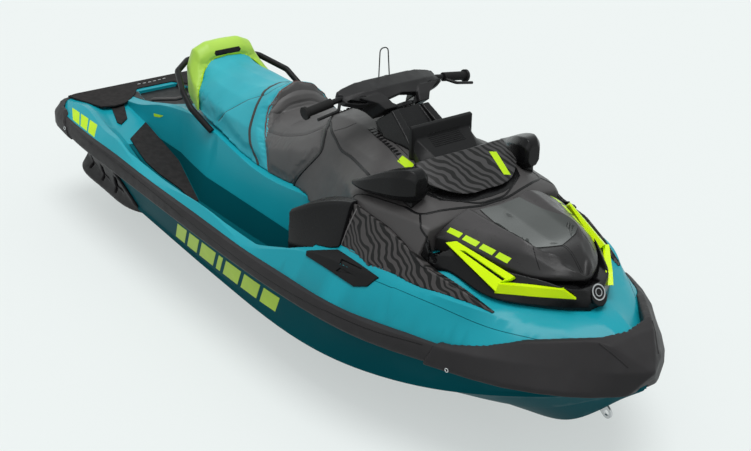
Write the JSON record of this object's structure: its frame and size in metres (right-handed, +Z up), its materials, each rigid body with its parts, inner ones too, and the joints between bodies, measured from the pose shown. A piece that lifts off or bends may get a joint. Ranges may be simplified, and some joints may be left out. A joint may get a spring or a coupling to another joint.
{
  "type": "personal watercraft",
  "caption": "Long sit-on watercraft with a vee hull, rub rails, stepped saddle, handlebars, opening front lid, steered jet nozzle, reverse gate and folding stern step.",
  "frame": {"origin": "midway along the craft, on its centre plane, at the height of the waterline", "axes": "+X forward along the keel, +Y to port, +Z up out of the water"},
  "size_m": [3.4415, 1.2552, 1.2092],
  "materials": {
    "hull_paint": "gloss gel coat, dark teal",
    "deck_paint": "gloss gel coat, teal",
    "mat_foam": "grooved foam",
    "bumper": "grained moulding",
    "seat_teal": "grained vinyl",
    "seat_grey": "grained vinyl",
    "cowl_grey": "satin",
    "wave_panel": "satin with dark waves",
    "trim_black": "grained moulding",
    "lime": "gloss",
    "seat_cap_lime": "smooth vinyl",
    "rubber_black": "ribbed",
    "bare_metal": "brushed",
    "cast_metal": "cast"
  },
  "bodies": {
    "boat": {"hull": "hull_paint", "deck": "deck_paint", "footwell_mats": "mat_foam", "platform_mat": "mat_foam", "rub_rail_starboard": "bumper", "rub_rail_port": "bumper", "bow_bumper": "bumper", "stern_bumper": "bumper", "passenger_seat": "seat_teal", "seat_cap": "seat_cap_lime", "driver_seat": "seat_grey", "console": "cowl_grey", "column_boot": "cowl_grey", "side_panel_starboard": "wave_panel", "side_panel_port": "wave_panel", "storage_bin": "trim_black", "headlight_housing": "trim_black", "headlight_trims": "lime", "nose_emblem": "trim_black", "visor": "wave_panel", "gauge_pod": "trim_black", "mirror_starboard": "trim_black", "mirror_port": "trim_black", "speakers": "trim_black", "side_vents": "trim_black", "grab_handle": "trim_black", "stern_bar": "cowl_grey", "sponsons": "trim_black", "jet_pump": "cast_metal", "ride_plate": "trim_black", "intake_grate": "cast_metal", "engine": "cast_metal", "step_brackets": "bare_metal", "bow_eye": "bare_metal", "stern_eyes": "bare_metal"},
    "steering": {"steering_riser": "trim_black", "handlebar": "bare_metal", "grip_starboard": "rubber_black", "grip_port": "rubber_black", "handlebar_cover": "trim_black", "levers": "trim_black", "wire_loop": "trim_black"},
    "hood": {"hood": "cowl_grey"},
    "impeller": {"impeller": "bare_metal", "drive_shaft": "bare_metal"},
    "nozzle": {"steering_nozzle": "cast_metal"},
    "reverse_gate": {"reverse_gate": "cast_metal"},
    "boarding_step": {"boarding_step": "bare_metal"}
  },
  "joints": [
    {"name": "steering_turn", "type": "hinge", "parent": "boat", "child": "steering", "pos_m": [0.395, 0, 0.655], "axis": [-0.6157, 0, 0.788], "range_deg": [-25, 25]},
    {"name": "hood_hinge", "type": "hinge", "parent": "boat", "child": "hood", "pos_m": [1.385, 0, 0.42], "axis": [0, 1, 0], "range_deg": [0, 55]},
    {"name": "impeller_spin", "type": "hinge", "parent": "boat", "child": "impeller", "pos_m": [-1.225, 0, -0.152], "axis": [1, 0, 0], "continuous": true},
    {"name": "nozzle_yaw", "type": "hinge", "parent": "boat", "child": "nozzle", "pos_m": [-1.535, 0, -0.152], "axis": [0, 0, 1], "range_deg": [-20, 20]},
    {"name": "gate_hinge", "type": "hinge", "parent": "boat", "child": "reverse_gate", "pos_m": [-1.535, 0, -0.152], "axis": [0, -1, 0], "range_deg": [0, 62]},
    {"name": "step_hinge", "type": "hinge", "parent": "boat", "child": "boarding_step", "pos_m": [-1.616, 0, -0.062], "axis": [0, -1, 0], "range_deg": [0, 170], "stiffness_Nm_per_rad": 2.5, "springref_deg": -68.75}
  ],
  "couplings": [
    {"joint": "nozzle_yaw", "follows": "steering_turn", "ratio": -0.8}
  ]
}
